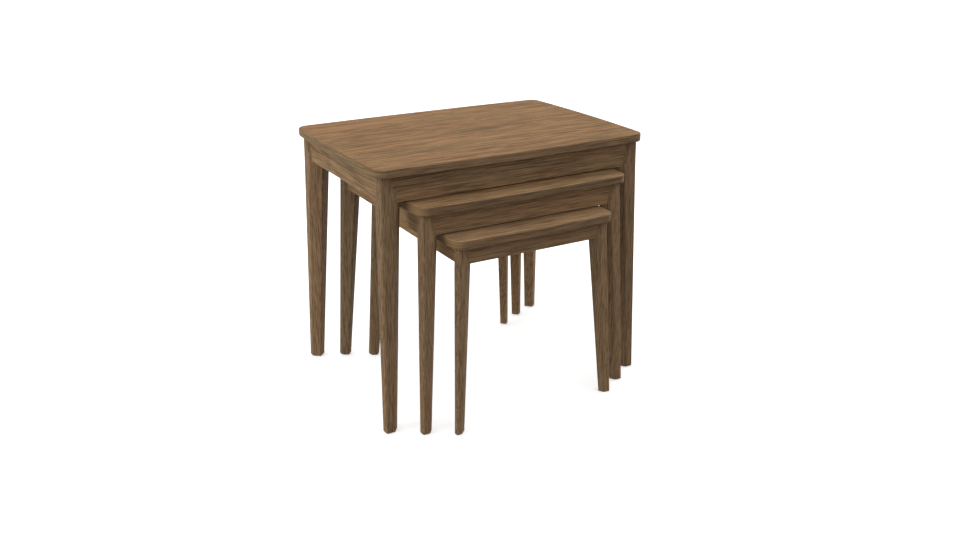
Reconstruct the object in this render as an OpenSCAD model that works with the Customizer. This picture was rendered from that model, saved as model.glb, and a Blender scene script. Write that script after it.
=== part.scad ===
// Nest of three wooden side tables, parked one under the other in a staggered row.
// Frame: X along the long side, -Y the side the smaller tables pull out to, +Z up.
// Origin: on the floor, under the middle of the whole nest.
// Each table has a bowed top, four sculpted splayed legs and four set-back aprons.
// The aprons stand on shoulders of the legs and are dowelled to them, with a screwed
// block across each corner, and buttons on the aprons hold the top.

/* [Large table] */
// Width of the large top over its bowed ends
large_w = 600; // [540:5:680]
// Height of the large table
large_h = 521; // [470:1:570]
// Height of the large aprons
large_apron = 50.5; // [46:0.5:56]
// How far the large feet spread past the leg tops
large_splay = 13; // [6:0.5:16]
// Size of the large leg section at its knee, where it is thickest
large_knee = 47.5; // [43:0.5:52]
// Size of the large leg section at the foot
large_foot = 29; // [25:0.5:33]

/* [Medium table] */
// Height of the medium aprons
medium_apron = 42.5; // [38:0.5:46]
// How far the medium feet spread past the leg tops
medium_splay = 17.5; // [8:0.5:19]
// Size of the medium leg section at its knee
medium_knee = 39; // [36:0.5:42]
// Size of the medium leg section at the foot
medium_foot = 24; // [21:0.5:28]

/* [Small table] */
// Height of the small aprons
small_apron = 35; // [33:0.5:40]
// How far the small feet spread past the leg tops
small_splay = 16.5; // [8:0.5:18]
// Size of the small leg section at its knee
small_knee = 34; // [31:0.5:36]
// Size of the small leg section at the foot
small_foot = 22.5; // [20:0.5:25]

/* [Tops] */
// Depth of all three tops over their bowed long sides
top_d = 420; // [380:5:460]
// Thickness of the tops
top_t = 16.5; // [14:0.5:20]
// Bow of each long side
bow_long = 5.5; // [2:0.5:8]
// Bow of each short side
bow_short = 7; // [2:0.5:8]
// Corner radius of the tops, seen from above
corner_r = 20; // [12:1:26]
// Overhang of the tops past the legs, at the widest point
overhang = 16.5; // [15:0.5:20]

/* [Nesting] */
// Gap between an apron and the top that passes under it
nest_gap = 2.5; // [1:0.5:6]
// Gap at each side between a top and the legs that it passes between
side_gap = 1; // [0.8:0.1:8]
// How far each smaller table is pulled out from the one above it
stagger = 34; // [0:1:60]

/* [Joints and feet] */
// Set-back of the aprons behind the legs' outer faces
setback = 5; // [4:0.5:7]
// Length of the dowels
dowel_len = 30; // [26:1:32]
// Thickness of the foot glides
glide_t = 2; // [1.5:0.5:3]

/* [Hidden] */

// The three tables, by index.
LARGE = 0;
MEDIUM = 1;
SMALL = 2;

// The four corners and the four sides: the sign of X and of Y.
FRONT_LEFT = [-1, -1];
FRONT_RIGHT = [1, -1];
BACK_LEFT = [-1, 1];
BACK_RIGHT = [1, 1];
CORNERS = [FRONT_LEFT, FRONT_RIGHT, BACK_LEFT, BACK_RIGHT];
FRONT = -1;
BACK = 1;
LEFT = -1;
RIGHT = 1;
SIDES = [-1, 1];

// Sizes of each table, by index.
apron_h = [large_apron, medium_apron, small_apron];
splay = [large_splay, medium_splay, small_splay];
knee = [large_knee, medium_knee, small_knee];
foot = [large_foot, medium_foot, small_foot];
apron_t = [15, 13, 11];
dowel_d = [8, 6, 6];

// Proportions of the leg section, as parts of its size.
face_foot = [0.6, 0.6, 0.44]; // each flat outer face, at the floor
face_knee = [0.6, 0.6, 0.54]; // the same at the aprons' lower edge
face_top = 0.46; // the same under the top
side_part = 0.5; // where the slanting side meets the inner face
top_part = 0.775; // size at the top, as a part of the knee
knee_drop = 6; // how far the knee lies below the aprons
edge_low = 0.155; // rounding of the outer edge at the floor
edge_high = 0.1; // the same under the top
arc_steps = 5;
curve_steps = 14;

// Joints between legs and aprons.
post_gap = 0.5; // keeps the ends of two aprons apart
dowel_in_leg = 12.5;
long_dowels = [0.2, 0.6]; // levels in the long aprons, as parts of the height
short_dowels = [0.4, 0.8]; // levels in the short aprons

// Blocks across the corners.
block_t = 14;
block_from_post = 8;
block_part = 0.62; // height, as a part of the apron's
block_seat = 5; // wood left under the screw's head

// Screws, all of one size.
screw_d = 4;
head_d = 8;
head_h = 2.4;
pocket_d = 9;
screw_in_apron = 8;
screw_in_top = 10;

// Buttons: a block on the top's underside, with a tongue in a slot of the apron.
button = [26, 22, 14];
button_gap = 0.5; // between block and apron
tongue_in = 5;
tongue_t = 5;
tongue_drop = 5;
slot_slack = 1;

// Foot glides: round pads with a pin, as parts of the foot's size.
glide_part = 0.3;
glide_middle = 0.44;
glide_pin_d = 2.5;
glide_pin_len = 9;

// Outline of the tops.
corner_steps = 8;
side_steps = 16;

eps = 0.01;
round_fn = 48;

wood_top = [0.58, 0.46, 0.35];
wood_frame = [0.42, 0.33, 0.25];
wood_inner = [0.62, 0.50, 0.36];
metal = [0.62, 0.62, 0.60];
pad = [0.12, 0.11, 0.10];

// ---- Levels and widths -------------------------------------------------------

// A table stands just under the aprons of the next larger one.
function height(t) = t == LARGE ? large_h : apron_z(t - 1) - nest_gap;

// Levels: the underside of the top and of the aprons, and the leg's knee below them.
function frame_z(t) = height(t) - top_t;
function apron_z(t) = frame_z(t) - apron_h[t];
function knee_z(t) = apron_z(t) - knee_drop;

// A top passes between the knees of the next larger table.
function width(t) =
    t == LARGE ? large_w : 2 * (clear_half(t - 1) - side_gap);
function clear_half(t) = half_x(t) + spread(t, knee_z(t)) - knee[t];

// Leg tops: half distances from the table's middle to the legs' outer faces.
function half_x(t) = width(t) / 2 - overhang;
half_y = top_d / 2 - overhang;

// The nest is centred on Y: the large table stands back, the small one forward.
function table_y(t) = stagger * (1 - t);

// Inner face of the aprons, and the square post between their ends, at a corner.
function inside(t) = setback + apron_t[t];
function post(t) = inside(t) + post_gap;

// ---- Leg section -------------------------------------------------------------

// Smooth step from 0 to 1.
function ease(u) = u <= 0 ? 0 : u >= 1 ? 1 : u * u * (3 - 2 * u);

// Change from a first to a last value.
function between(first, last, u) = first + (last - first) * u;

// Size of the leg section: a straight taper up to the knee, then drawn in to the top.
function taper(t, z) = between(foot[t], knee[t], z / knee_z(t));
function drawn_in(t, z) = ease((z - knee_z(t)) / (frame_z(t) - knee_z(t)));
function leg_size(t, z) =
    z < knee_z(t) ? taper(t, z) : knee[t] * between(1, top_part, drawn_in(t, z));

// Width of the outer faces: broad up to the aprons, where it is drawn in to the top.
function face_part(t, z) =
    z < apron_z(t)
        ? between(face_foot[t], face_knee[t], z / apron_z(t))
        : between(face_knee[t], face_top, ease((z - apron_z(t)) / apron_h[t]));
function face_w(t, z) = face_part(t, z) * leg_size(t, z);

// Rounding of the outer edge.
function edge_r(t, z) = leg_size(t, z) * between(edge_low, edge_high, z / frame_z(t));

// How far the outer edge has spread at a level.
function spread(t, z) = splay[t] * (1 - z / frame_z(t));

// One section, seen from above: outer edge at the origin, the leg's body in +X and +Y.
function leg_section(s, f, r) = concat(
    [for (i = [0:arc_steps]) [
        r * (1 - cos(90 * i / arc_steps)),
        r * (1 - sin(90 * i / arc_steps))
    ]],
    [[f, 0], [s, side_part * s], [side_part * s, s], [0, f]]
);

// One section at the foot is enough below the knee, where the leg tapers straight.
function leg_levels(t) = concat(
    [glide_t],
    [for (i = [0:curve_steps]) between(knee_z(t), frame_z(t), i / curve_steps)]
);

// The leg as one closed skin through its sections.
module leg_body(t) {
    sections = [for (z = leg_levels(t))
        [for (p = leg_section(leg_size(t, z), face_w(t, z), edge_r(t, z)))
            [p.x - spread(t, z), p.y - spread(t, z), z]]];
    rings = len(sections);
    sides = len(sections[0]);
    walls = [for (r = [0:rings - 2])
        for (k = [0:sides - 1])
            let (n = (k + 1) % sides)
            each [
                [r * sides + k, (r + 1) * sides + k, (r + 1) * sides + n],
                [r * sides + k, (r + 1) * sides + n, r * sides + n]
            ]];
    bottom = [for (k = [0:sides - 1]) k];
    top = [for (k = [sides - 1:-1:0]) (rings - 1) * sides + k];
    polyhedron([for (s = sections) each s], concat(walls, [bottom, top]));
}

// Puts a piece made in the leg's own frame at a corner of its table.
module at_corner(t, corner) {
    translate([corner.x * half_x(t), table_y(t) + corner.y * half_y, 0])
        mirror([corner.x > 0 ? 1 : 0, 0, 0])
            mirror([0, corner.y > 0 ? 1 : 0, 0])
                children();
}

// Puts a piece made along the leg's X on the other side of the corner.
module other_side() {
    mirror([1, -1, 0])
        children();
}

// ---- Joints between legs and aprons ------------------------------------------

// One dowel, half in the post and half in the apron, in the leg's frame.
module dowel(t, level) {
    translate([post(t) - dowel_in_leg, setback + apron_t[t] / 2, apron_z(t) + level * apron_h[t]])
        rotate([0, 90, 0])
            cylinder(d = dowel_d[t], h = dowel_len, $fn = round_fn);
}

// All four dowels of one corner.
module corner_dowels(t) {
    for (level = long_dowels)
        dowel(t, level);
    other_side()
        for (level = short_dowels)
            dowel(t, level);
}

// Clears the leg beside its post, down to the shoulder that the apron stands on.
module shoulder_cut(t) {
    room = 2 * knee[t];
    translate([post(t), setback, apron_z(t)])
        cube([room, room, apron_h[t] + eps]);
}

// A leg in its own frame, with its shoulders, dowel holes and glide hole.
module cut_leg(t) {
    difference() {
        leg_body(t);
        shoulder_cut(t);
        other_side()
            shoulder_cut(t);
        corner_dowels(t);
        glide_pin(t);
    }
}

module leg(t, corner) {
    color(wood_frame)
        at_corner(t, corner)
            cut_leg(t);
}

// ---- Aprons ------------------------------------------------------------------

// An apron in the leg's frame: it runs along X from one post to the mirrored one.
module apron_blank(t, span) {
    translate([post(t), setback, apron_z(t)])
        cube([2 * (span - post(t)), apron_t[t], apron_h[t]]);
}

// Holes for the dowels and the block's screw at both ends of an apron.
module end_holes(t, span, levels) {
    for (end = [0, 1])
        translate([end * 2 * span, 0, 0])
            mirror([end, 0, 0]) {
                for (level = levels)
                    dowel(t, level);
                corner_screw(t);
            }
}

module cut_apron(t, span, levels) {
    difference() {
        apron_blank(t, span);
        tongue_slot(t, span);
        end_holes(t, span, levels);
    }
}

module long_apron(t, side) {
    color(wood_frame)
        at_corner(t, [-1, side])
            cut_apron(t, half_x(t), long_dowels);
}

module short_apron(t, side) {
    color(wood_frame)
        at_corner(t, [side, -1])
            other_side()
                cut_apron(t, half_y, short_dowels);
}

module dowels(t) {
    color(wood_inner)
        for (corner = CORNERS)
            at_corner(t, corner)
                corner_dowels(t);
}

// ---- Corner blocks and their screws --------------------------------------------

// The block's near face, measured along the corner's diagonal.
function block_near(t) = sqrt(2) * post(t) + block_from_post;
function block_h(t) = block_part * apron_h[t];
function block_mid_z(t) = apron_z(t) + apron_h[t] / 2;

// Where the screw enters the apron: the middle of the block's end.
function screw_x(t) = sqrt(2) * (block_near(t) + block_t / 2) - inside(t);

// A block across the corner, its ends cut to lie against both aprons.
module block_blank(t) {
    room = 4 * knee[t];
    intersection() {
        rotate([0, 0, 45])
            translate([block_near(t), -room / 2, block_mid_z(t) - block_h(t) / 2])
                cube([block_t, room, block_h(t)]);
        translate([inside(t), inside(t), apron_z(t)])
            cube([room, room, apron_h[t]]);
    }
}

// A cylinder on the screw's axis, from a distance out of the apron's face inwards.
module screw_part(t, d, from, length) {
    translate([screw_x(t), inside(t) + from, block_mid_z(t)])
        rotate([90, 0, 0])
            cylinder(d = d, h = length, $fn = round_fn);
}

module corner_screw(t) {
    screw_part(t, screw_d, block_seat, block_seat + screw_in_apron);
    screw_part(t, head_d, block_seat + head_h, head_h);
}

// The pocket in the block's slanting face that the screw's head sits in.
module screw_pocket(t) {
    screw_part(t, pocket_d, block_seat + block_t, block_t);
}

module corner_block(t) {
    difference() {
        block_blank(t);
        both_sides() {
            corner_screw(t);
            screw_pocket(t);
        }
    }
}

// Repeats a piece on both sides of the corner.
module both_sides() {
    children();
    other_side()
        children();
}

module corner_blocks(t) {
    color(wood_inner)
        for (corner = CORNERS)
            at_corner(t, corner)
                corner_block(t);
}

module corner_screws(t) {
    color(metal)
        for (corner = CORNERS)
            at_corner(t, corner)
                both_sides()
                    corner_screw(t);
}

// ---- Buttons and screws that hold the top --------------------------------------

function tongue_z(t) = frame_z(t) - tongue_drop - tongue_t;

// Slot for the button's tongue, in the apron's inner face at mid-length.
module tongue_slot(t, span) {
    depth = tongue_in + slot_slack;
    wide = button.x + 2 * slot_slack;
    translate([span - wide / 2, inside(t) - depth, tongue_z(t) - slot_slack])
        cube([wide, depth + eps, tongue_t + 2 * slot_slack]);
}

// A button at the middle of an apron, its tongue in the slot.
module button_blank(t, span) {
    near = inside(t) + button_gap;
    translate([span - button.x / 2, near, frame_z(t) - button.z])
        cube(button);
    translate([span - button.x / 2, near - button_gap - tongue_in, tongue_z(t)])
        cube([button.x, tongue_in + button_gap + button.y / 2, tongue_t]);
}

module button_screw(t, span) {
    translate([span, inside(t) + button_gap + button.y / 2, frame_z(t) - button.z]) {
        cylinder(d = screw_d, h = button.z + screw_in_top, $fn = round_fn);
        cylinder(d = head_d, h = head_h, $fn = round_fn);
    }
}

module cut_button(t, span) {
    difference() {
        button_blank(t, span);
        button_screw(t, span);
    }
}

// Repeats a piece at the middle of all four aprons.
module on_each_apron(t) {
    for (side = SIDES) {
        at_corner(t, [-1, side])
            translate([half_x(t) - half_y, 0, 0])
                children();
        at_corner(t, [side, -1])
            other_side()
                children();
    }
}

module top_buttons(t) {
    color(wood_inner)
        on_each_apron(t)
            cut_button(t, half_y);
}

module top_screws(t) {
    color(metal)
        on_each_apron(t)
            button_screw(t, half_y);
}

// ---- Top -----------------------------------------------------------------------

// Outline: a rounded rectangle pushed out to a shallow bow on all four sides.
function rounded(a, b) = [
    for (q = [0:3])
        for (i = [0:corner_steps])
            let (angle = 90 * (q + i / corner_steps))
            [
                (q == 0 || q == 3 ? 1 : -1) * (a - corner_r) + corner_r * cos(angle),
                (q < 2 ? 1 : -1) * (b - corner_r) + corner_r * sin(angle)
            ]
];

// Fills each straight stretch with evenly spaced points, so that it can bow.
function fill(p) = [
    for (i = [0:len(p) - 1])
        let (a = p[i], b = p[(i + 1) % len(p)], n = norm(b - a) > corner_r ? side_steps : 1)
        for (k = [0:n - 1]) a + (b - a) * k / n
];

function bowed(p, a, b) = [
    p.x * (1 + bow_short / a * (1 - pow(p.y / b, 2))),
    p.y * (1 + bow_long / b * (1 - pow(p.x / a, 2)))
];

module top_outline(t) {
    a = width(t) / 2 - bow_short;
    b = top_d / 2 - bow_long;
    polygon([for (p = fill(rounded(a, b))) bowed(p, a, b)]);
}

module top(t) {
    color(wood_top)
        difference() {
            translate([0, table_y(t), frame_z(t)])
                linear_extrude(height = top_t)
                    top_outline(t);
            on_each_apron(t)
                button_screw(t, half_y);
        }
}

// ---- Foot glides -----------------------------------------------------------------

// The glide sits under the middle of the foot.
module at_foot(t) {
    middle = glide_middle * foot[t] - splay[t];
    translate([middle, middle, 0])
        children();
}

module glide_pin(t) {
    at_foot(t)
        cylinder(d = glide_pin_d, h = glide_t + glide_pin_len, $fn = round_fn);
}

module glide(t) {
    at_foot(t)
        cylinder(r = glide_part * foot[t], h = glide_t, $fn = round_fn);
    glide_pin(t);
}

module foot_glides(t) {
    color(pad)
        for (corner = CORNERS)
            at_corner(t, corner)
                glide(t);
}

// ---- The nest --------------------------------------------------------------------

top(LARGE);  // large_top
leg(LARGE, FRONT_LEFT);  // large_leg_front_left
leg(LARGE, FRONT_RIGHT);  // large_leg_front_right
leg(LARGE, BACK_LEFT);  // large_leg_back_left
leg(LARGE, BACK_RIGHT);  // large_leg_back_right
long_apron(LARGE, FRONT);  // large_apron_front
long_apron(LARGE, BACK);  // large_apron_back
short_apron(LARGE, LEFT);  // large_apron_left
short_apron(LARGE, RIGHT);  // large_apron_right
dowels(LARGE);  // large_dowels
corner_blocks(LARGE);  // large_corner_blocks
corner_screws(LARGE);  // large_corner_screws
top_buttons(LARGE);  // large_top_buttons
top_screws(LARGE);  // large_top_screws
foot_glides(LARGE);  // large_foot_glides

top(MEDIUM);  // medium_top
leg(MEDIUM, FRONT_LEFT);  // medium_leg_front_left
leg(MEDIUM, FRONT_RIGHT);  // medium_leg_front_right
leg(MEDIUM, BACK_LEFT);  // medium_leg_back_left
leg(MEDIUM, BACK_RIGHT);  // medium_leg_back_right
long_apron(MEDIUM, FRONT);  // medium_apron_front
long_apron(MEDIUM, BACK);  // medium_apron_back
short_apron(MEDIUM, LEFT);  // medium_apron_left
short_apron(MEDIUM, RIGHT);  // medium_apron_right
dowels(MEDIUM);  // medium_dowels
corner_blocks(MEDIUM);  // medium_corner_blocks
corner_screws(MEDIUM);  // medium_corner_screws
top_buttons(MEDIUM);  // medium_top_buttons
top_screws(MEDIUM);  // medium_top_screws
foot_glides(MEDIUM);  // medium_foot_glides

top(SMALL);  // small_top
leg(SMALL, FRONT_LEFT);  // small_leg_front_left
leg(SMALL, FRONT_RIGHT);  // small_leg_front_right
leg(SMALL, BACK_LEFT);  // small_leg_back_left
leg(SMALL, BACK_RIGHT);  // small_leg_back_right
long_apron(SMALL, FRONT);  // small_apron_front
long_apron(SMALL, BACK);  // small_apron_back
short_apron(SMALL, LEFT);  // small_apron_left
short_apron(SMALL, RIGHT);  // small_apron_right
dowels(SMALL);  // small_dowels
corner_blocks(SMALL);  // small_corner_blocks
corner_screws(SMALL);  // small_corner_screws
top_buttons(SMALL);  // small_top_buttons
top_screws(SMALL);  // small_top_screws
foot_glides(SMALL);  // small_foot_glides
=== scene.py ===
"""Nest of three oak side tables: the visual pieces, their materials, the light and the camera."""
import math

import bmesh
import bpy
from mathutils import Matrix, Vector


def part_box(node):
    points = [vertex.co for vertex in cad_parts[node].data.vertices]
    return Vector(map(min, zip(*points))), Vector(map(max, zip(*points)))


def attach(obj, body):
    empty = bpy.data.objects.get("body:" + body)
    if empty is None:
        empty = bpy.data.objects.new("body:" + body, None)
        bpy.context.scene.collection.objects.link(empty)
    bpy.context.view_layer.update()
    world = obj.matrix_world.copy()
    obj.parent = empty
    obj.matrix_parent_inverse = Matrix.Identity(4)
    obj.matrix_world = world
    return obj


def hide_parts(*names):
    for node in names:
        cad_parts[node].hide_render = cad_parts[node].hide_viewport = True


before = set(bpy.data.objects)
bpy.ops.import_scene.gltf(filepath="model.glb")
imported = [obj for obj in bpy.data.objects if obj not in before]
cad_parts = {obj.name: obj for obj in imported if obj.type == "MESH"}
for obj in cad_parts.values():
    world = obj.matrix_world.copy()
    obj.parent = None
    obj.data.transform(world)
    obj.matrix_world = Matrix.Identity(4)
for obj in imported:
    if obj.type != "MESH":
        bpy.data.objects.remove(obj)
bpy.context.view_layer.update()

TABLES = ("large", "medium", "small")
CORNERS = {
    "front_left": (-1, -1),
    "front_right": (1, -1),
    "back_left": (-1, 1),
    "back_right": (1, 1),
}

# ---- Sizes, in metres ---------------------------------------------------------

# Leg sections: how far the feet spread, and the section's size at knee and foot.
SPLAY = {"large": 0.013, "medium": 0.0175, "small": 0.0165}
KNEE = {"large": 0.0475, "medium": 0.039, "small": 0.034}
FOOT = {"large": 0.029, "medium": 0.024, "small": 0.0225}
FACE_FOOT = {"large": 0.6, "medium": 0.6, "small": 0.44}
FACE_KNEE = {"large": 0.6, "medium": 0.6, "small": 0.54}
FACE_TOP = 0.46
SIDE_PART = 0.5
TOP_PART = 0.775
KNEE_DROP = 0.006
SETBACK = 0.005
POST_GAP = 0.0005
GLIDE_T = 0.002

# Rounding of the leg's outer edge at the floor and under the top and of its slanting
# sides, as parts of the section's size, and of its inner face.
EDGE_LOW = 0.155
EDGE_HIGH = 0.1
SLANT_PART = 0.12
INNER_R = 0.0025

# How far the cuts for the aprons reach past the leg's top.
CUT_OVER = 0.001

# Tops.
BOW_LONG = 0.0055
BOW_SHORT = 0.007
CORNER_R = 0.02
UPPER_R = 0.0026
LOWER_R = 0.0024

# Soft arrises of the aprons, and of the small hidden parts.
BOARD_R = 0.0008
SMALL_R = 0.0005

# Points of a CAD mesh closer than this are one point, and faces that differ by less than
# this angle, in degrees, are one face. Edges sharper than the third are softened.
SAME_POINT = 0.00001
SAME_FACE = 1
SHARP_EDGE = 40
FLAT_WEIGHT = 60

# Edges sharper than this, in degrees, stay creased: on turned and sculpted pieces,
# and on boards and screws.
SOFT_CREASE = 50
HARD_CREASE = 35

ARC_STEPS = 6
SHARP_CORNERS = (2, 3)


# ---- Mesh helpers -------------------------------------------------------------

def new_piece(name, bm, material):
    """Makes an object of a bmesh, smooth but with its sharp corners kept."""
    bmesh.ops.recalc_face_normals(bm, faces=bm.faces)
    mesh = bpy.data.meshes.new(name)
    bm.to_mesh(mesh)
    bm.free()
    mesh.materials.append(material)
    piece = bpy.data.objects.new(name, mesh)
    bpy.context.scene.collection.objects.link(piece)
    smooth(mesh)
    return piece


def smooth(mesh, angle=SOFT_CREASE):
    mesh.polygons.foreach_set("use_smooth", [True] * len(mesh.polygons))
    mesh.set_sharp_from_angle(angle=math.radians(angle))


def weigh_normals(piece):
    """Keeps large flat faces flat beside their small rounded arrises."""
    weighted = piece.modifiers.new("weighted", "WEIGHTED_NORMAL")
    weighted.keep_sharp = True
    weighted.weight = FLAT_WEIGHT


def loft(bm, rings, **marks):
    """Skins a stack of rings with quads, closes both ends and marks the points."""
    layers = {bm.verts.layers.float.new(name): mark for name, mark in marks.items()}
    levels = []
    for r, ring in enumerate(rings):
        verts = []
        for k, point in enumerate(ring):
            vert = bm.verts.new(point)
            for layer, mark in layers.items():
                vert[layer] = mark(r, k)
            verts.append(vert)
        levels.append(verts)
    for lower, upper in zip(levels, levels[1:]):
        for k in range(len(lower)):
            n = (k + 1) % len(lower)
            bm.faces.new((lower[k], lower[n], upper[n], upper[k]))
    bm.faces.new(levels[0][::-1])
    bm.faces.new(levels[-1])


def applied(piece):
    """Replaces a piece's mesh with what its modifiers make of it."""
    evaluated = piece.evaluated_get(bpy.context.evaluated_depsgraph_get())
    mesh = bpy.data.meshes.new_from_object(evaluated)
    old = piece.data
    piece.modifiers.clear()
    piece.data = mesh
    bpy.data.meshes.remove(old)


def cut_away(piece, cutters):
    """Cuts closed meshes out of a piece."""
    for k, cutter in enumerate(cutters):
        cut = piece.modifiers.new(f"cut_{k}", "BOOLEAN")
        cut.operation = "DIFFERENCE"
        cut.solver = "EXACT"
        cut.object = cutter
    bpy.context.view_layer.update()
    applied(piece)
    for cutter in cutters:
        mesh = cutter.data
        bpy.data.objects.remove(cutter)
        bpy.data.meshes.remove(mesh)


def box_cutter(low, high):
    bm = bmesh.new()
    middle = [(a + b) / 2 for a, b in zip(low, high)]
    size = [b - a for a, b in zip(low, high)]
    matrix = Matrix.Translation(middle) @ Matrix.Diagonal((*size, 1))
    bmesh.ops.create_cube(bm, size=1, matrix=matrix)
    mesh = bpy.data.meshes.new("cutter")
    bm.to_mesh(mesh)
    bm.free()
    cutter = bpy.data.objects.new("cutter", mesh)
    bpy.context.scene.collection.objects.link(cutter)
    return cutter


# ---- Materials ----------------------------------------------------------------

def link(tree, value, socket):
    """Joins a socket to an input, or sets the input to a plain value."""
    if isinstance(value, bpy.types.NodeSocket):
        tree.links.new(value, socket)
    else:
        socket.default_value = value


def maths(tree, operation, a, b=0.0, c=0.0):
    n = tree.nodes.new("ShaderNodeMath")
    n.operation = operation
    link(tree, a, n.inputs[0])
    link(tree, b, n.inputs[1])
    link(tree, c, n.inputs[2])
    return n.outputs[0]


def vector_maths(tree, operation, a, b):
    n = tree.nodes.new("ShaderNodeVectorMath")
    n.operation = operation
    link(tree, a, n.inputs[0])
    link(tree, b, n.inputs[1])
    return n.outputs[0]


def noise(tree, vector, scale, detail=3.0, roughness=0.6, output="Fac"):
    """Noise with its own scale along each axis, in features per metre."""
    n = tree.nodes.new("ShaderNodeTexNoise")
    link(tree, vector_maths(tree, "MULTIPLY", vector, scale), n.inputs["Vector"])
    n.inputs["Scale"].default_value = 1.0
    n.inputs["Detail"].default_value = detail
    n.inputs["Roughness"].default_value = roughness
    return n.outputs[output]


def spread_to(tree, value, low, high, new_low=0.0, new_high=1.0):
    """Maps a range onto another, clamped."""
    n = tree.nodes.new("ShaderNodeMapRange")
    link(tree, value, n.inputs["Value"])
    for key, number in zip(("From Min", "From Max", "To Min", "To Max"), (low, high, new_low, new_high)):
        n.inputs[key].default_value = number
    return n.outputs["Result"]


def mixed(tree, factor, a, b, blend="MIX"):
    n = tree.nodes.new("ShaderNodeMix")
    n.data_type = "RGBA"
    n.blend_type = blend
    link(tree, factor, n.inputs[0])
    link(tree, a, n.inputs[6])
    link(tree, b, n.inputs[7])
    return n.outputs[2]


def combined(tree, x, y, z):
    n = tree.nodes.new("ShaderNodeCombineXYZ")
    for value, socket in zip((x, y, z), n.inputs):
        link(tree, value, socket)
    return n.outputs[0]


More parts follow.
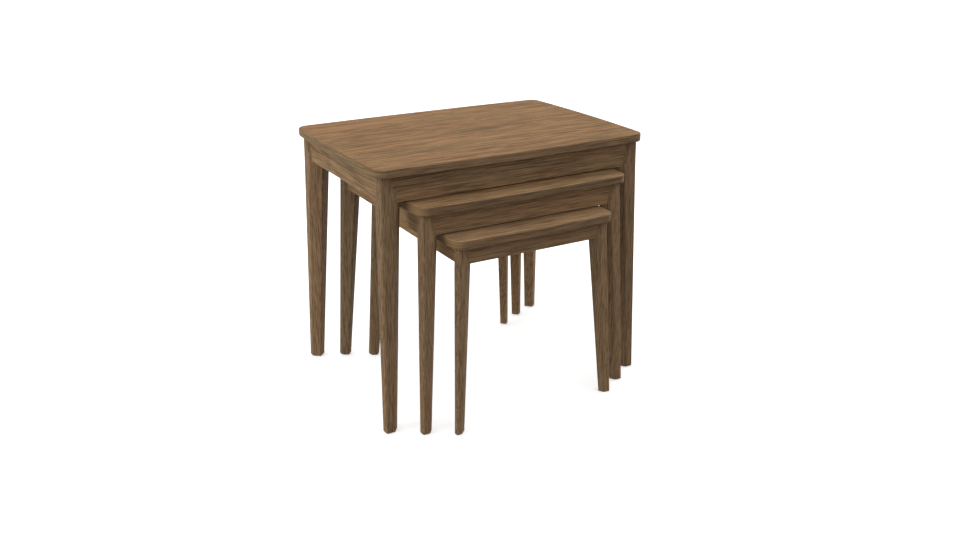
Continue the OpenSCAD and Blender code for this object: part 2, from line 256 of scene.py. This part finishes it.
def oak_group():
    """Stained oak as solid wood: X runs along the grain, and the rings lie round X."""
    tree = bpy.data.node_groups.new("oak", "ShaderNodeTree")
    face = tree.interface
    for name, kind in (
        ("Vector", "Vector"), ("Stave", "Float"), ("Seed", "Float"), ("Arch", "Float"),
        ("Light", "Color"), ("Dark", "Color"),
    ):
        face.new_socket(name, in_out="INPUT", socket_type="NodeSocket" + kind)
    for name, kind in (("Colour", "Color"), ("Roughness", "Float"), ("Height", "Float")):
        face.new_socket(name, in_out="OUTPUT", socket_type="NodeSocket" + kind)
    given = tree.nodes.new("NodeGroupInput").outputs
    result = tree.nodes.new("NodeGroupOutput").inputs

    # Each stave of a glued-up board comes from another place in the log.
    parts = tree.nodes.new("ShaderNodeSeparateXYZ")
    link(tree, given["Vector"], parts.inputs[0])
    stave = maths(tree, "FLOOR", maths(tree, "DIVIDE", parts.outputs["Y"], given["Stave"]))
    chance = tree.nodes.new("ShaderNodeTexWhiteNoise")
    chance.noise_dimensions = "1D"
    link(tree, maths(tree, "ADD", stave, given["Seed"]), chance.inputs["W"])
    middle = maths(tree, "MULTIPLY", maths(tree, "ADD", stave, 0.5), given["Stave"])
    centred = vector_maths(tree, "SUBTRACT", given["Vector"], combined(tree, 0.0, middle, 0.0))
    shift = vector_maths(tree, "MULTIPLY", chance.outputs["Color"], (3.0, 0.05, 0.05))
    placed = vector_maths(tree, "ADD", centred, shift)

    # The log is not straight: the grain wanders slowly.
    wander = noise(tree, placed, (1.6, 7.0, 7.0), 2.0, 0.5, "Color")
    wander = vector_maths(tree, "SUBTRACT", wander, (0.5, 0.5, 0.5))
    wander = vector_maths(tree, "MULTIPLY", wander, (0.0, 0.012, 0.012))
    grain = vector_maths(tree, "ADD", placed, wander)

    # Growth rings, seen as long arches because the log tapers along the board.
    arched = vector_maths(tree, "MULTIPLY", grain, combined(tree, given["Arch"], 1.0, 1.0))
    tilted = tree.nodes.new("ShaderNodeMapping")
    link(tree, arched, tilted.inputs["Vector"])
    tilted.inputs["Location"].default_value = (0.0, 0.012, 0.07)
    tilted.inputs["Rotation"].default_value = (0.0, math.radians(2.0), math.radians(1.0))
    rings = tree.nodes.new("ShaderNodeTexWave")
    rings.wave_type = "RINGS"
    rings.rings_direction = "X"
    rings.wave_profile = "SAW"
    link(tree, vector_maths(tree, "MULTIPLY", tilted.outputs[0], (0.05, 1.0, 1.0)), rings.inputs["Vector"])
    rings.inputs["Scale"].default_value = 52.0
    rings.inputs["Distortion"].default_value = 2.2
    rings.inputs["Detail"].default_value = 3.0
    rings.inputs["Detail Scale"].default_value = 0.6
    rings.inputs["Detail Roughness"].default_value = 0.6
    ring = rings.outputs["Fac"]

    # From broad bands of darker stain down to single fibres and open pores.
    band = noise(tree, grain, (1.2, 38.0, 38.0), 2.0, 0.5)
    streak = noise(tree, grain, (3.0, 150.0, 150.0), 2.0, 0.5)
    dash = noise(tree, grain, (9.0, 360.0, 360.0), 2.0, 0.6)
    line = noise(tree, grain, (22.0, 750.0, 750.0), 2.0, 0.6)
    fibre = noise(tree, grain, (40.0, 1800.0, 1800.0), 3.0, 0.6)
    cloud = noise(tree, grain, (2.0, 12.0, 12.0), 3.0, 0.55)
    pores = tree.nodes.new("ShaderNodeTexVoronoi")
    link(tree, vector_maths(tree, "MULTIPLY", grain, (130.0, 1900.0, 1900.0)), pores.inputs["Vector"])
    pores.inputs["Scale"].default_value = 1.0
    early = spread_to(tree, ring, 0.45, 0.05)
    pore = spread_to(tree, pores.outputs["Distance"], 0.42, 0.12)
    pore = maths(tree, "MULTIPLY", pore, maths(tree, "MULTIPLY_ADD", early, 0.6, 0.4))

    # Colour: light wood darkened by rings, bands, streaks, dashes and pores.
    tone = maths(tree, "MULTIPLY", early, 0.16)
    tone = maths(tree, "ADD", tone, spread_to(tree, band, 0.34, 0.66, 0.0, 0.14))
    tone = maths(tree, "ADD", tone, spread_to(tree, streak, 0.36, 0.64, -0.02, 0.22))
    tone = maths(tree, "ADD", tone, spread_to(tree, dash, 0.36, 0.64, -0.32, 0.70))
    tone = maths(tree, "ADD", tone, spread_to(tree, line, 0.36, 0.64, -0.36, 0.48))
    tone = maths(tree, "ADD", tone, spread_to(tree, fibre, 0.3, 0.7, -0.12, 0.12))
    tone = maths(tree, "ADD", tone, maths(tree, "MULTIPLY_ADD", chance.outputs["Value"], 0.16, -0.08))
    colour = mixed(tree, tone, given["Light"], given["Dark"])
    warm = mixed(tree, 1.0, colour, (1.04, 0.99, 0.96, 1.0), "MULTIPLY")
    cool = mixed(tree, 1.0, colour, (0.97, 1.01, 0.99, 1.0), "MULTIPLY")
    colour = mixed(tree, spread_to(tree, cloud, 0.36, 0.64), cool, warm)
    darker = mixed(tree, 1.0, colour, (0.42, 0.40, 0.40, 1.0), "MULTIPLY")
    colour = mixed(tree, maths(tree, "MULTIPLY", pore, 0.6), colour, darker)

    # Handled edges are a little lighter and smoother: partly wear, and partly a painted highlight where the
    # rounded arrises catch the light.
    arris = tree.nodes.new("ShaderNodeAttribute")
    arris.attribute_name = "arris"
    wear_and_highlight = maths(tree, "MULTIPLY", arris.outputs["Fac"], spread_to(tree, cloud, 0.35, 0.7, 0.15, 0.6))
    rubbed_and_highlit = mixed(tree, 1.0, colour, (1.12, 1.11, 1.10, 1.0), "MULTIPLY")
    link(tree, mixed(tree, wear_and_highlight, colour, rubbed_and_highlit), result["Colour"])

    rough = maths(tree, "MULTIPLY_ADD", dash, 0.16, 0.58)
    rough = maths(tree, "MULTIPLY_ADD", pore, 0.2, rough)
    link(tree, maths(tree, "MULTIPLY_ADD", wear_and_highlight, -0.06, rough), result["Roughness"])
    height = maths(tree, "MULTIPLY_ADD", pore, -0.8, maths(tree, "MULTIPLY", dash, -0.8))
    link(tree, maths(tree, "MULTIPLY_ADD", fibre, 0.3, height), result["Height"])
    return tree


OAK = oak_group()
ALONG = {
    "X": (0.0, 0.0, 0.0),
    "Y": (0.0, 0.0, math.radians(-90)),
    "Z": (0.0, math.radians(90), 0.0),
}
NO_STAVES = 10.0
TOP_CUT = (0.105, 1.0, 1.0, 1.4)
BOARD_CUT = (NO_STAVES, 0.3, 0.9, 0.8)
LEG_CUT = (NO_STAVES, 0.1, 0.25, 0.6)
RIM = "rim"


def oak(name, along, seed, light, dark, cut=BOARD_CUT, lit_end_colours=None):
    """A piece's own oak: its grain along one axis, cut from its own place in the log.

    The cut is the stave's width, how far the rings arch, and how long and how wide
    the grain's marks are.

    With end colours it is the band round a top's rim, which takes them at both ends as painted light: the
    ends are lighter where they face the side light.
    """
    material = bpy.data.materials.new(name)
    material.use_nodes = True
    tree = material.node_tree
    shader = tree.nodes["Principled BSDF"]
    turned = tree.nodes.new("ShaderNodeMapping")
    if lit_end_colours:
        where = tree.nodes.new("ShaderNodeUVMap")
        where.uv_map = RIM
        link(tree, where.outputs["UV"], turned.inputs["Vector"])
    else:
        where = tree.nodes.new("ShaderNodeTexCoord")
        link(tree, where.outputs["Object"], turned.inputs["Vector"])
    turned.inputs["Rotation"].default_value = ALONG[along]
    stave, arch, length, width = cut
    turned.inputs["Scale"].default_value = (1 / length, 1 / width, 1 / width)
    turned.inputs["Location"].default_value = (seed * 1.37, 0.0, (seed % 5) * 0.011)
    wood = tree.nodes.new("ShaderNodeGroup")
    wood.node_tree = OAK
    link(tree, turned.outputs[0], wood.inputs["Vector"])
    wood.inputs["Stave"].default_value = stave / width
    wood.inputs["Seed"].default_value = seed
    wood.inputs["Arch"].default_value = arch
    wood.inputs["Light"].default_value = (*light, 1.0)
    wood.inputs["Dark"].default_value = (*dark, 1.0)
    # Painted light: the rim blends to the lighter end colours where it faces the side light.
    if lit_end_colours:
        ends = tree.nodes.new("ShaderNodeAttribute")
        ends.attribute_name = "ends"
        for socket, colour, lit_end_colour in zip(("Light", "Dark"), (light, dark), lit_end_colours):
            varied = mixed(tree, ends.outputs["Fac"], (*colour, 1.0), (*lit_end_colour, 1.0))
            link(tree, varied, wood.inputs[socket])
    bump = tree.nodes.new("ShaderNodeBump")
    bump.inputs["Strength"].default_value = 0.5
    bump.inputs["Distance"].default_value = 0.0003
    link(tree, wood.outputs["Height"], bump.inputs["Height"])
    link(tree, bump.outputs[0], shader.inputs["Normal"])
    link(tree, wood.outputs["Colour"], shader.inputs["Base Color"])
    link(tree, wood.outputs["Roughness"], shader.inputs["Roughness"])
    shader.inputs["Specular IOR Level"].default_value = 0.12
    return material


def plain(name, colour, roughness, metallic=0.0, grain=(300.0, 300.0, 300.0), bump_depth=0.00005):
    """A plain finish with fine mottling in its colour and gloss."""
    material = bpy.data.materials.new(name)
    material.use_nodes = True
    tree = material.node_tree
    shader = tree.nodes["Principled BSDF"]
    where = tree.nodes.new("ShaderNodeTexCoord").outputs["Object"]
    fine = noise(tree, where, grain, 4.0, 0.6)
    darker = tuple(c * 0.72 for c in colour)
    link(tree, mixed(tree, fine, (*colour, 1.0), (*darker, 1.0)), shader.inputs["Base Color"])
    link(tree, maths(tree, "MULTIPLY_ADD", fine, 0.2, roughness - 0.1), shader.inputs["Roughness"])
    shader.inputs["Metallic"].default_value = metallic
    bump = tree.nodes.new("ShaderNodeBump")
    bump.inputs["Strength"].default_value = 0.4
    bump.inputs["Distance"].default_value = bump_depth
    link(tree, fine, bump.inputs["Height"])
    link(tree, bump.outputs[0], shader.inputs["Normal"])
    return material


# Smoked oak under oil: the colour between the pores, and the colour of the streaks.
TOP_LIGHT = (0.314, 0.173, 0.075)
TOP_DARK = (0.131, 0.072, 0.032)
RIM_LIGHT = (0.270, 0.165, 0.090)
RIM_DARK = (0.116, 0.071, 0.038)
# Painted light: the top's ends are a lighter copy of the rim's oak, lit from the side.
END_LIT_LIGHT = (0.330, 0.214, 0.103)
END_LIT_DARK = (0.158, 0.102, 0.049)
# Painted light: the side aprons' oak is a lighter copy of the long aprons', as the side faces catch the
# light from the side.
SIDE_APRON_LIT_LIGHT = (0.450, 0.273, 0.134)
SIDE_APRON_LIT_DARK = (0.204, 0.123, 0.062)
LONG_APRON_LIGHT = (0.312, 0.190, 0.101)
LONG_APRON_DARK = (0.123, 0.075, 0.039)
LEG_LIGHT = (0.329, 0.207, 0.113)
LEG_DARK = (0.114, 0.072, 0.039)

# The boards of each table have their own tone, and the rims of the medium and small tables are darker. The
# medium and small tops are also lighter and bluer as painted sheen, in place of the dome's reflection that
# the larger table hides from them. Some legs are lighter and others darker as painted light and shade.
TOP_TONE_AND_SHEEN = {"large": (1.0, 1.0, 0.97), "medium": (1.16, 1.28, 1.48), "small": (1.18, 1.34, 1.65)}
RIM_TONE = {"large": 1.0, "medium": 0.69, "small": 0.86}
# Painted light and shade: the back-right legs are lighter and some others darker, as the bounced light falls
# on them unevenly.
LEG_PAINTED_SHADING = {
    "large_leg_back_left": 1.25,
    "large_leg_back_right": 1.4,
    "large_leg_front_right": 0.84,
    "medium_leg_back_left": 0.95,
    "medium_leg_back_right": 1.35,
    "small_leg_back_left": 0.85,
    "small_leg_back_right": 1.4,
}

BEECH_LIGHT = (0.62, 0.44, 0.27)
BEECH_DARK = (0.42, 0.28, 0.16)

STEEL = plain("zinc_plated_steel", (0.62, 0.61, 0.58), 0.34, metallic=1.0, grain=(900.0, 900.0, 900.0))
NYLON = plain("dark_nylon", (0.045, 0.040, 0.036), 0.55)


# ---- Legs ---------------------------------------------------------------------

def ease(u):
    u = min(max(u, 0.0), 1.0)
    return u * u * (3 - 2 * u)


def between(first, last, u):
    return first + (last - first) * u


def rounded_corner(before, corner, after, radius):
    """Points of the arc that rounds a corner of an outline."""
    a = (before - corner).normalized()
    b = (after - corner).normalized()
    half = a.angle(b) / 2
    centre = corner + (a + b).normalized() * radius / math.sin(half)
    start = corner + a * radius / math.tan(half) - centre
    end = corner + b * radius / math.tan(half) - centre
    turn = start.angle_signed(end)
    points = []
    for k in range(ARC_STEPS + 1):
        part = Matrix.Rotation(-turn * k / ARC_STEPS, 2) @ start
        points.append(centre + part)
    return points


class Table:
    """The levels and widths of one table, read from its CAD nodes."""

    def __init__(self, name):
        self.name = name
        low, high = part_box(f"{name}_top")
        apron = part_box(f"{name}_apron_left")
        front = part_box(f"{name}_apron_front")
        self.middle = (low + high) / 2
        self.half_size = (high - low) / 2
        self.top_z = high.z
        self.frame_z = low.z
        self.apron_z = apron[0].z
        self.knee_z = self.apron_z - KNEE_DROP
        self.apron_t = apron[1].x - apron[0].x
        self.half_x = self.middle.x - apron[0].x + SETBACK
        self.half_y = self.middle.y - front[0].y + SETBACK
        self.post = SETBACK + self.apron_t + POST_GAP

    def leg_size(self, z):
        knee, foot = KNEE[self.name], FOOT[self.name]
        if z < self.knee_z:
            return between(foot, knee, z / self.knee_z)
        drawn_in = ease((z - self.knee_z) / (self.frame_z - self.knee_z))
        return knee * between(1, TOP_PART, drawn_in)

    def face_part(self, z):
        foot, knee = FACE_FOOT[self.name], FACE_KNEE[self.name]
        if z < self.apron_z:
            return between(foot, knee, z / self.apron_z)
        drawn_in = ease((z - self.apron_z) / (self.frame_z - self.apron_z))
        return between(knee, FACE_TOP, drawn_in)

    def leg_ring(self, z):
        """The leg's section at a level, in the leg's own frame."""
        s = self.leg_size(z)
        f = s * self.face_part(z)
        up = z / self.frame_z
        spread = SPLAY[self.name] * (1 - up)
        side = SIDE_PART * s
        corners = [Vector(p) for p in ((0, 0), (f, 0), (s, side), (side, s), (0, f))]
        edge = s * between(EDGE_LOW, EDGE_HIGH, up)
        radii = (edge, SLANT_PART * s, INNER_R, INNER_R, SLANT_PART * s)
        ring = []
        for k, radius in enumerate(radii):
            around = corners[k - 1], corners[k], corners[(k + 1) % len(corners)]
            ring += [Vector((p.x - spread, p.y - spread, z)) for p in rounded_corner(*around, radius)]
        return ring

    def leg_levels(self, straight=8, curved=24):
        levels = [between(GLIDE_T, self.knee_z, k / straight) for k in range(straight)]
        return levels + [between(self.knee_z, self.frame_z, k / curved) for k in range(curved + 1)]

    def place(self, corner, point):
        """From the leg's own frame to a corner of the table."""
        x = self.middle.x + corner[0] * (self.half_x - point.x)
        y = self.middle.y + corner[1] * (self.half_y - point.y)
        return Vector((x, y, point.z))


def leg_arrises(level, k):
    """1 in the middle of each sharp arris, 0 on the flats and the broad curves."""
    corner, step = divmod(k, ARC_STEPS + 1)
    return math.sin(math.pi * step / ARC_STEPS) if corner in SHARP_CORNERS else 0.0


def make_leg(table, corner_name, material):
    corner = CORNERS[corner_name]
    rings = []
    for z in table.leg_levels():
        rings.append([table.place(corner, p) for p in table.leg_ring(z)])
    bm = bmesh.new()
    loft(bm, rings, arris=leg_arrises)
    name = f"{table.name}_leg_{corner_name}_oak"
    piece = new_piece(name, bm, material)
    room = 2 * KNEE[table.name]
    near_far = (
        (Vector((table.post, SETBACK, table.apron_z)), Vector((room, room, table.frame_z + CUT_OVER))),
        (Vector((SETBACK, table.post, table.apron_z)), Vector((room, room, table.frame_z + CUT_OVER))),
    )
    cutters = []
    for near, far in near_far:
        a, b = table.place(corner, near), table.place(corner, far)
        cutters.append(box_cutter([min(p) for p in zip(a, b)], [max(p) for p in zip(a, b)]))
    cut_away(piece, cutters)
    smooth(piece.data)
    weigh_normals(piece)
    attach(piece, f"{table.name}_table")
    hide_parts(f"{table.name}_leg_{corner_name}")


# ---- Tops ---------------------------------------------------------------------

CORNER_STEPS = 12
SIDE_STEPS = 28
CAP_INSET = 0.012


def top_ring(table, inset, z):
    """The top's bowed outline, set in by a distance, at a level."""
    a = table.half_size.x - BOW_SHORT - inset
    b = table.half_size.y - BOW_LONG - inset
    r = CORNER_R - inset
    corners = []
    for sx, sy, first in ((1, 1, 0), (-1, 1, 90), (-1, -1, 180), (1, -1, 270)):
        for k in range(CORNER_STEPS + 1):
            angle = math.radians(first + 90 * k / CORNER_STEPS)
            corners.append((sx * (a - r) + r * math.cos(angle), sy * (b - r) + r * math.sin(angle)))
    points = []
    for k, start in enumerate(corners):
        end = corners[(k + 1) % len(corners)]
        steps = SIDE_STEPS if (k + 1) % (CORNER_STEPS + 1) == 0 else 1
        for n in range(steps):
            points.append([start[i] + (end[i] - start[i]) * n / steps for i in (0, 1)])
    ring = []
    for x, y in points:
        out_x = x * (1 + BOW_SHORT / a * (1 - (y / b) ** 2))
        out_y = y * (1 + BOW_LONG / b * (1 - (x / a) ** 2))
        ring.append(Vector((table.middle.x + out_x, table.middle.y + out_y, z)))
    return ring


def wrap_rim(bm, profile, count):
    """Lays a second map round the rim, in metres: along the edge, and up its profile."""
    around = bm.loops.layers.uv.new(RIM)
    bm.verts.ensure_lookup_table()
    up = [0.0]
    for before, after in zip(profile, profile[1:]):
        up.append(up[-1] + math.hypot(after[0] - before[0], after[1] - before[1]))
    run = [0.0]
    for k in range(count):
        run.append(run[-1] + (bm.verts[(k + 1) % count].co - bm.verts[k].co).length)
    for face in bm.faces:
        if len(face.verts) != 4:
            continue
        closing = {v.index % count for v in face.verts} == {0, count - 1}
        for loop in face.loops:
            row, k = divmod(loop.vert.index, count)
            loop[around].uv = (run[count if closing and k == 0 else k], up[row])


def make_top(table, face_material, rim_material):
    """A board with a rounded upper and lower arris, banded round its rim."""
    profile = [(CAP_INSET, table.frame_z, 0.0)]
    for k in range(ARC_STEPS + 1):
        angle = math.radians(90 * k / ARC_STEPS)
        inset = LOWER_R * (1 - math.sin(angle))
        profile.append((inset, table.frame_z + LOWER_R * (1 - math.cos(angle)), math.sin(2 * angle)))
    for k in range(ARC_STEPS + 1):
        angle = math.radians(90 * k / ARC_STEPS)
        inset = UPPER_R * (1 - math.cos(angle))
        profile.append((inset, table.top_z - UPPER_R * (1 - math.sin(angle)), math.sin(2 * angle)))
    profile.append((CAP_INSET, table.top_z, 0.0))
    rings = [top_ring(table, inset, z) for inset, z, wear_and_highlight in profile]
    outline = rings[0]

    def ends(r, k):
        """1 where the rim stands upright at the board's ends, 0 along its sides and flat: where the painted
        light of the lit ends goes.
        """
        along = outline[(k + 1) % len(outline)] - outline[k - 1]
        inset = profile[r][0]
        upright = max(0.0, 1 - inset / LOWER_R)
        return upright * abs(along.y) / along.length

    bm = bmesh.new()
    loft(bm, rings, arris=lambda r, k: profile[r][2], ends=ends)
    bm.verts.index_update()
    wrap_rim(bm, profile, len(rings[0]))
    banded = range(1, len(profile) - 1 - ARC_STEPS // 2)
    for face in bm.faces:
        row = min(v.index for v in face.verts) // len(rings[0])
        face.material_index = 1 if row in banded and len(face.verts) == 4 else 0
    piece = new_piece(f"{table.name}_top_oak", bm, face_material)
    piece.data.materials.append(rim_material)
    weigh_normals(piece)
    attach(piece, f"{table.name}_table")
    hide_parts(f"{table.name}_top")


# ---- Screws ---------------------------------------------------------------------

# Head: a crown on a short rim with a softened lower edge.
HEAD_R = 0.0039
HEAD_H = 0.0024
CROWN_H = 0.0015
HEAD_EDGE = 0.0002
CROWN_STEPS = 8

# Shank: the thread's outer radius, and how it runs down to the tip.
SCREW_R = 0.002
THREAD_PITCH = 0.0016
THREAD_DEPTH = 0.0006
THREAD_STEPS = 6
FLANK_SLOPE = 2.4
TIP = 0.004
TIP_BLUNT = 0.05
ROUND_STEPS = 20

# Cross recess: half an arm's length and width, its depth each way from the crown, and
# how much wider and narrower it is at the two ends.
RECESS_ARM = 0.0023
RECESS_WIDTH = 0.0005
RECESS_DEPTH = 0.0013
RECESS_WIDE = 1.4
RECESS_NARROW = 0.4


def circle(radius, z):
    """A ring of points whose radius may depend on the turn."""
    ring = []
    for k in range(ROUND_STEPS):
        turn = k / ROUND_STEPS
        r = radius(turn) if callable(radius) else radius
        angle = math.tau * turn
        ring.append(Vector((r * math.cos(angle), r * math.sin(angle), z)))
    return ring


def screw_rings(length):
    """The rings of a wood screw whose head's crown is at zero and whose tip points up."""
    rings = []
    for k in range(1, CROWN_STEPS + 1):
        angle = math.radians(90 * k / CROWN_STEPS)
        rings.append(circle(HEAD_R * math.sin(angle), CROWN_H * (1 - math.cos(angle))))
    rings.append(circle(HEAD_R, HEAD_H - HEAD_EDGE))
    rings.append(circle(HEAD_R - HEAD_EDGE, HEAD_H))
    core = SCREW_R - THREAD_DEPTH
    step = THREAD_PITCH / THREAD_STEPS
    for k in range(int((length - HEAD_H) / step) + 1):
        z = HEAD_H + k * step
        whole = min(1.0, (length - z) / TIP + TIP_BLUNT)
        started = min(1.0, k / THREAD_STEPS)

        def radius(turn):
            across = (z / THREAD_PITCH - turn) % 1
            tooth = max(0.0, 1 - FLANK_SLOPE * abs(across - 0.5))
            return whole * (core + THREAD_DEPTH * tooth * started)

        rings.append(circle(radius, z))
    return rings


def cross_cutter():
    """The cutter of a cross recess, narrowing into the head."""
    rings = []
    for z, part in ((-RECESS_DEPTH, RECESS_WIDE), (RECESS_DEPTH, RECESS_NARROW)):
        a, w = RECESS_ARM * part, RECESS_WIDTH * part
        quarter = [(a, -w), (a, w), (w, w)]
        ring = []
        for turn in range(4):
            spin = Matrix.Rotation(math.radians(90 * turn), 3, "Z")
            ring += [spin @ Vector((x, y, z)) for x, y in quarter]
        rings.append(ring)
    bm = bmesh.new()
    loft(bm, rings)
    return new_piece("cross", bm, STEEL)


def screw_master(length):
    """The mesh of one screw, ready to be placed."""
    bm = bmesh.new()
    loft(bm, screw_rings(length))
    master = new_piece("screw", bm, STEEL)
    cut_away(master, [cross_cutter()])
    mesh = master.data
    bpy.data.objects.remove(master)
    return mesh


def islands(node):
    """The separate bodies of a CAD part, each as a list of its points."""
    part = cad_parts[node]
    bm = bmesh.new()
    bm.from_mesh(part.data)
    bmesh.ops.remove_doubles(bm, verts=bm.verts, dist=SAME_POINT)
    left = set(bm.verts)
    bodies = []
    while left:
        reached = [left.pop()]
        points = []
        while reached:
            vert = reached.pop()
            points.append(part.matrix_world @ vert.co)
            for edge in vert.link_edges:
                other = edge.other_vert(vert)
                if other in left:
                    left.remove(other)
                    reached.append(other)
        bodies.append(points)
    bm.free()
    return bodies


def screw_place(points):
    """Where a screw lies: its length, and the matrix that takes a master screw to it."""
    low = Vector([min(p[i] for p in points) for i in range(3)])
    high = Vector([max(p[i] for p in points) for i in range(3)])
    size = high - low
    axis = max(range(3), key=lambda i: size[i])
    middle = (low + high) / 2
    near_low = [p for p in points if p[axis] < low[axis] + HEAD_EDGE]
    near_high = [p for p in points if p[axis] > high[axis] - HEAD_EDGE]

    def spread(some):
        return max((p - middle).length for p in some)

    head_low = spread(near_low) > spread(near_high)
    towards = Vector((0, 0, 0))
    towards[axis] = 1 if head_low else -1
    crown = middle.copy()
    crown[axis] = low[axis] if head_low else high[axis]
    turned = Vector((0, 0, 1)).rotation_difference(towards).to_matrix().to_4x4()
    return size[axis], Matrix.Translation(crown) @ turned


def make_screws(table_name, part):
    """All the screws of one CAD part, which are of one length, as a single piece."""
    node = f"{table_name}_{part}"
    places = [screw_place(points) for points in islands(node)]
    master = screw_master(places[0][0])
    bm = bmesh.new()
    for length, matrix in places:
        before = len(bm.verts)
        bm.from_mesh(master)
        bm.verts.ensure_lookup_table()
        bmesh.ops.transform(bm, matrix=matrix, verts=bm.verts[before:])
    piece = new_piece(f"{node}_steel", bm, STEEL)
    smooth(piece.data, HARD_CREASE)
    bpy.data.meshes.remove(master)
    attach(piece, f"{table_name}_table")
    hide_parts(node)


# ---- CAD parts that keep their own shape ---------------------------------------

def finish_node(node, material, radius=BOARD_R):
    """Gives a CAD part its finish, and softens its arrises without changing its mesh."""
    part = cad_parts[node]
    part.data.materials.clear()
    part.data.materials.append(material)
    weld = part.modifiers.new("weld", "WELD")
    weld.merge_threshold = SAME_POINT
    flat = part.modifiers.new("flat", "DECIMATE")
    flat.decimate_type = "DISSOLVE"
    flat.angle_limit = math.radians(SAME_FACE)
    bevel = part.modifiers.new("arris", "BEVEL")
    bevel.width = radius
    bevel.segments = 3
    bevel.limit_method = "ANGLE"
    bevel.angle_limit = math.radians(SHARP_EDGE)
    bevel.harden_normals = False
    smooth(part.data, HARD_CREASE)
    weigh_normals(part)


# ---- Building the three tables --------------------------------------------------

for t, name in enumerate(TABLES):
    table = Table(name)
    seed = 10.0 * (t + 1)
    light, dark = [[c * part for c, part in zip(colour, TOP_TONE_AND_SHEEN[name])] for colour in (TOP_LIGHT, TOP_DARK)]
    face = oak(f"{name}_top_face", "X", seed, light, dark, TOP_CUT)
    light, dark = [[c * RIM_TONE[name] for c in colour] for colour in (RIM_LIGHT, RIM_DARK)]
    rim = oak(f"{name}_top_rim", "X", seed + 0.5, light, dark, lit_end_colours=(END_LIT_LIGHT, END_LIT_DARK))
    make_top(table, face, rim)
    for k, corner_name in enumerate(CORNERS):
        # Some legs are lightened and others darkened here: painted light and shade.
        tone = LEG_PAINTED_SHADING.get(f"{name}_leg_{corner_name}", 1.0)
        light, dark = [c * tone for c in LEG_LIGHT], [c * tone for c in LEG_DARK]
        wood = oak(f"{name}_leg_{corner_name}_oak", "Z", seed + 1 + k, light, dark, LEG_CUT)
        make_leg(table, corner_name, wood)
    for k, (side, along) in enumerate((("front", "X"), ("back", "X"), ("left", "Y"), ("right", "Y"))):
        long = LONG_APRON_LIGHT, LONG_APRON_DARK
        # The side aprons take the lighter, lit copy of the oak: painted light.
        short_lit = SIDE_APRON_LIT_LIGHT, SIDE_APRON_LIT_DARK
        light, dark = long if along == "X" else short_lit
        wood = oak(f"{name}_apron_{side}_oak", along, seed + 5 + k, light, dark)
        finish_node(f"{name}_apron_{side}", wood)
    beech = oak(f"{name}_beech", "X", seed + 9, BEECH_LIGHT, BEECH_DARK)
    for part in ("dowels", "corner_blocks", "top_buttons"):
        finish_node(f"{name}_{part}", beech, SMALL_R)
    for part in ("corner_screws", "top_screws"):
        make_screws(name, part)
    finish_node(f"{name}_foot_glides", NYLON, SMALL_R)


# ---- Floor, light and camera ----------------------------------------------------

def make_floor(size=400.0):
    bm = bmesh.new()
    bmesh.ops.create_grid(bm, x_segments=1, y_segments=1, size=size / 2)
    material = bpy.data.materials.new("pale_floor")
    material.use_nodes = True
    shader = material.node_tree.nodes["Principled BSDF"]
    shader.inputs["Base Color"].default_value = (0.85, 0.85, 0.85, 1.0)
    shader.inputs["Emission Color"].default_value = (1.0, 1.0, 1.0, 1.0)
    shader.inputs["Emission Strength"].default_value = 0.45
    shader.inputs["Roughness"].default_value = 0.9
    shader.inputs["Specular IOR Level"].default_value = 0.1
    floor = new_piece("floor", bm, material)
    floor.visible_diffuse = False


def add_light(name, kind, energy, place, target):
    light = bpy.data.lights.new(name, kind)
    light.energy = energy
    lamp = bpy.data.objects.new(name, light)
    bpy.context.scene.collection.objects.link(lamp)
    lamp.location = place
    lamp.rotation_euler = (Vector(target) - Vector(place)).to_track_quat("-Z", "Y").to_euler()
    return light


def make_dome():
    """A white dome over the floor, and little light from below."""
    world = bpy.data.worlds.new("studio")
    bpy.context.scene.world = world
    world.use_nodes = True
    tree = world.node_tree
    where = tree.nodes.new("ShaderNodeTexCoord")
    parts = tree.nodes.new("ShaderNodeSeparateXYZ")
    link(tree, where.outputs["Generated"], parts.inputs[0])
    strength = spread_to(tree, parts.outputs["Z"], -0.05, -0.005, 0.06, 0.92)
    link(tree, strength, tree.nodes["Background"].inputs["Strength"])
    tree.nodes["Background"].inputs["Color"].default_value = (1.0, 1.0, 1.0, 1.0)


def make_light():
    make_dome()
    heart = (0.0, 0.0, 0.3)
    for name, energy, place, spread in (
        ("overhead", 0.55, (-0.5, 0.5, 4.0), 60),
        ("left", 0.76, (-4.0, 0.4, 2.0), 25),
        ("right", 0.45, (4.0, 0.8, 1.2), 40),
    ):
        add_light(name, "SUN", energy, place, heart).angle = math.radians(spread)


CAMERA_PLACE = (-0.9505, -1.6687, 0.9635)
CAMERA_YAW = 0.523
CAMERA_PITCH = 0.367
LENS = 36.34


def make_camera():
    camera = bpy.data.cameras.new("camera")
    camera.lens = LENS
    camera.sensor_width = 36.0
    camera.shift_x = -0.0012
    camera.clip_start = 0.05
    camera.clip_end = 100.0
    holder = bpy.data.objects.new("camera", camera)
    bpy.context.scene.collection.objects.link(holder)
    forward = Vector((
        math.sin(CAMERA_YAW) * math.cos(CAMERA_PITCH),
        math.cos(CAMERA_YAW) * math.cos(CAMERA_PITCH),
        -math.sin(CAMERA_PITCH),
    ))
    holder.location = CAMERA_PLACE
    holder.rotation_euler = forward.to_track_quat("-Z", "Y").to_euler()
    bpy.context.scene.camera = holder


make_floor()
make_light()
make_camera()
bpy.context.scene.view_settings.view_transform = "Standard"
